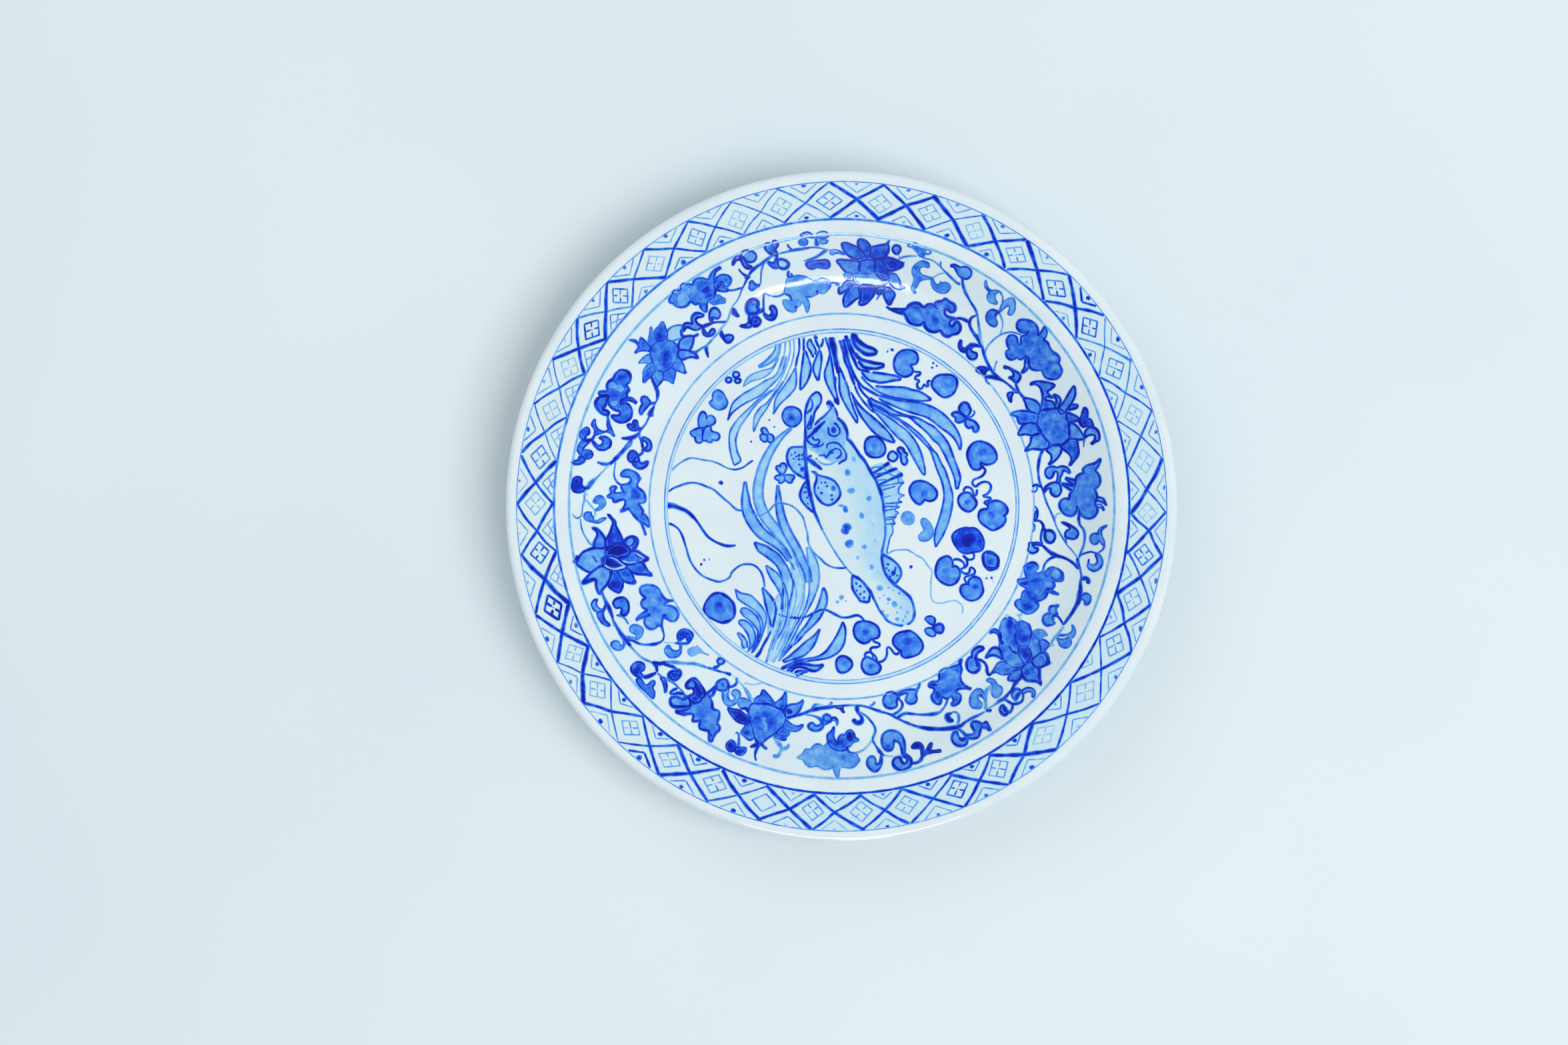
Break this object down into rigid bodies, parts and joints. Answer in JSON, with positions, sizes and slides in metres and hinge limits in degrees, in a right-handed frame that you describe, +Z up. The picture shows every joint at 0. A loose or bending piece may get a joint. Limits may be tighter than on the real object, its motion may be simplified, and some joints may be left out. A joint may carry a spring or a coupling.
{
  "type": "painted porcelain plate",
  "caption": "Round porcelain plate with a flat rim, curved wall and flat well on a foot ring, painted in cobalt blue with a fish, waterweed, lotus scroll and trellis rim.",
  "frame": {"origin": "centre of the foot ring's resting plane", "axes": "+Z up out of the face, along the plate's axis; +Y towards the top of the painted picture as the picture shows it, +X to its right"},
  "size_m": [0.3, 0.3, 0.0351],
  "materials": {
    "white_porcelain": "fired white porcelain",
    "bare_porcelain": "unglazed, finely sanded",
    "cobalt_paint": "brushed cobalt, fired under the glaze",
    "clear_glaze": "glossy, faintly blue white"
  },
  "bodies": {
    "root": {"porcelain_body": "white_porcelain", "foot_ring": "bare_porcelain", "cobalt_medallion": "cobalt_paint", "cobalt_scroll_band": "cobalt_paint", "cobalt_rim_band": "cobalt_paint", "face_glaze": "clear_glaze", "back_glaze": "clear_glaze", "base_glaze": "clear_glaze"}
  },
  "joints": []
}
